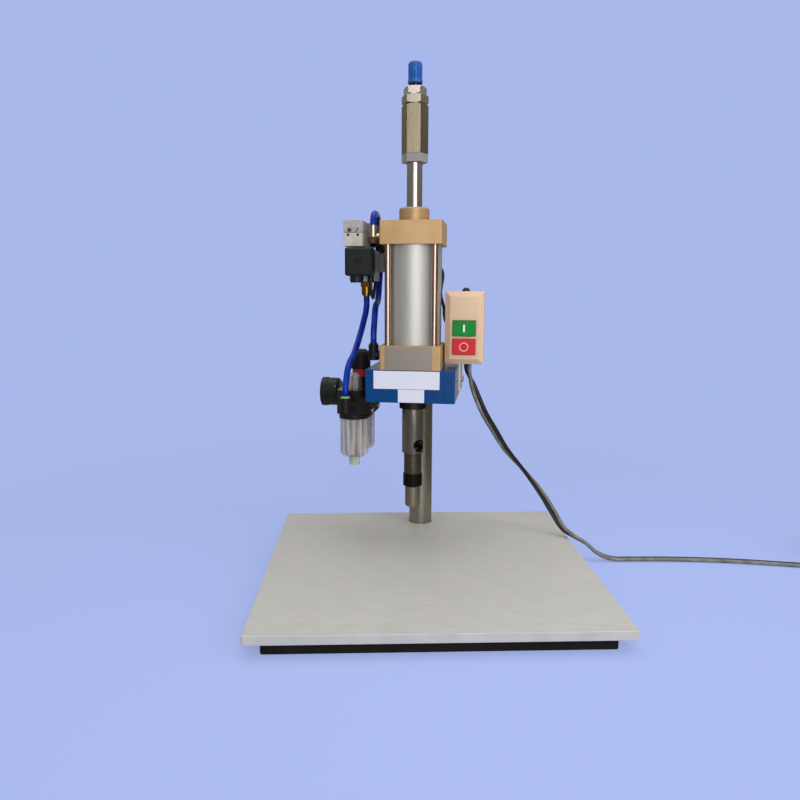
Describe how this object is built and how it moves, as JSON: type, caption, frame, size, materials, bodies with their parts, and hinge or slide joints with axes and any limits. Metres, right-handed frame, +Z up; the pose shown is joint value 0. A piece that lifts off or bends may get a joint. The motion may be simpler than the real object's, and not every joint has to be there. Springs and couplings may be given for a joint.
{
  "type": "pneumatic punch press",
  "caption": "Bench-top pneumatic punch press: air cylinder over a round column, hollow punch on a ram, cutting board, push-button box, solenoid valve and air service unit.",
  "frame": {"origin": "on the table surface that the base plate stands on, straight under the punch axis", "axes": "+Z up along the ram, +Y from the punch to the column, +X to the right seen from the front of the head; the base plate is turned about the column because the head is clamped swung to one side"},
  "size_m": [0.9586, 0.4315, 0.6217],
  "materials": {
    "plate_black": "satin",
    "board_white": "satin",
    "polished_steel": "polished",
    "black_steel": "black oxide",
    "cord_black": "satin",
    "black_plastic": "satin",
    "block_blue": "semi-gloss",
    "cap_gold": "satin anodised",
    "barrel_aluminium": "satin",
    "chrome": "polished",
    "zinc_steel": "zinc plated",
    "seal_rubber": "matte",
    "valve_aluminium": "satin",
    "pilot_silver": "satin",
    "brass": "machined",
    "coil_grey": "satin",
    "fitting_black": "gloss",
    "hose_blue": "gloss",
    "clear_plastic": "clear",
    "drain_green": "satin",
    "red_plastic": "gloss",
    "box_beige": "satin",
    "button_green": "gloss",
    "button_red": "gloss",
    "ram_steel": "ground",
    "punch_steel": "ground",
    "knob_blue": "gloss",
    "nickel": "nickel plated",
    "bumper_grey": "matte"
  },
  "bodies": {
    "base": {"base_plate": "plate_black", "cutting_board": "board_white", "column": "polished_steel", "column_bolt": "black_steel", "mains_lead": "cord_black", "lead_coil": "cord_black", "coil_tie": "black_plastic", "mains_plug": "black_plastic"},
    "head": {"head_block": "block_blue", "m8_screws": "black_steel", "ram_guide": "black_plastic", "lower_cap": "cap_gold", "upper_cap": "cap_gold", "barrel": "barrel_aluminium", "tie_rods": "chrome", "tie_nuts": "zinc_steel", "upper_gland": "cap_gold", "seals": "seal_rubber", "valve_body": "valve_aluminium", "valve_pilot": "pilot_silver", "coil": "coil_grey", "din_plug": "black_plastic", "valve_plate": "zinc_steel", "p_fitting": "brass", "elbows": "fitting_black", "hose_a": "hose_blue", "hose_b": "hose_blue", "hose_p": "hose_blue", "oiler_body": "fitting_black", "filter_body": "fitting_black", "oiler_bowl": "clear_plastic", "filter_bowl": "clear_plastic", "sight_dome": "clear_plastic", "lock_ring": "red_plastic", "gauge_case": "black_plastic", "gauge_glass": "clear_plastic", "unit_bracket": "zinc_steel", "switch_cover": "box_beige", "switch_back": "box_beige", "switch_bracket": "zinc_steel", "cord_glands": "black_plastic", "solenoid_lead": "cord_black", "m4_screws": "zinc_steel"},
    "ram": {"piston": "barrel_aluminium", "piston_seals": "seal_rubber", "upper_rod": "chrome", "ram": "ram_steel", "punch_holder": "ram_steel", "punch_collar": "black_steel", "punch": "punch_steel", "top_knob": "knob_blue"},
    "sleeve": {"stroke_sleeve": "nickel", "bumper": "bumper_grey"},
    "lock_nut": {"lock_nut": "nickel"},
    "start_button": {"start_button": "button_green"},
    "stop_button": {"stop_button": "button_red"},
    "valve_override": {"valve_override": "brass"},
    "dial_knob": {"dial_knob": "black_plastic"},
    "gauge_needle": {"gauge_needle": "black_steel"},
    "drain_cock": {"drain_cock": "drain_green"}
  },
  "joints": [
    {"name": "head_height", "type": "slide", "parent": "base", "child": "head", "axis": [0, 0, 1], "range_m": [0, 0.05]},
    {"name": "ram_stroke", "type": "slide", "parent": "head", "child": "ram", "axis": [0, 0, -1], "range_m": [0, 0.0525]},
    {"name": "sleeve_turn", "type": "hinge", "parent": "ram", "child": "sleeve", "pos_m": [0, 0, 0.55], "axis": [0, 0, 1], "range_deg": [-360, 360]},
    {"name": "lock_nut_turn", "type": "hinge", "parent": "ram", "child": "lock_nut", "pos_m": [0, 0, 0.5878], "axis": [0, 0, 1], "range_deg": [-360, 360]},
    {"name": "start_press", "type": "slide", "parent": "head", "child": "start_button", "axis": [0, 1, 0], "range_m": [0, 0.0025], "stiffness_N_per_m": 800, "springref_m": -0.001},
    {"name": "stop_press", "type": "slide", "parent": "head", "child": "stop_button", "axis": [0, 1, 0], "range_m": [0, 0.0025], "stiffness_N_per_m": 800, "springref_m": -0.001},
    {"name": "override_press", "type": "slide", "parent": "head", "child": "valve_override", "axis": [0, 1, 0], "range_m": [0, 0.001], "stiffness_N_per_m": 800, "springref_m": -0.0005},
    {"name": "pressure_knob_turn", "type": "hinge", "parent": "head", "child": "dial_knob", "pos_m": [-0.07775, 0.051, 0.26], "axis": [0, 0, 1], "range_deg": [-720, 720]},
    {"name": "gauge_needle_swing", "type": "hinge", "parent": "head", "child": "gauge_needle", "pos_m": [-0.115, 0.051, 0.218], "axis": [-1, 0, 0], "range_deg": [-135, 135]},
    {"name": "drain_turn", "type": "hinge", "parent": "head", "child": "drain_cock", "pos_m": [-0.07775, 0.005, 0.135], "axis": [0, 0, 1], "range_deg": [0, 90]}
  ]
}
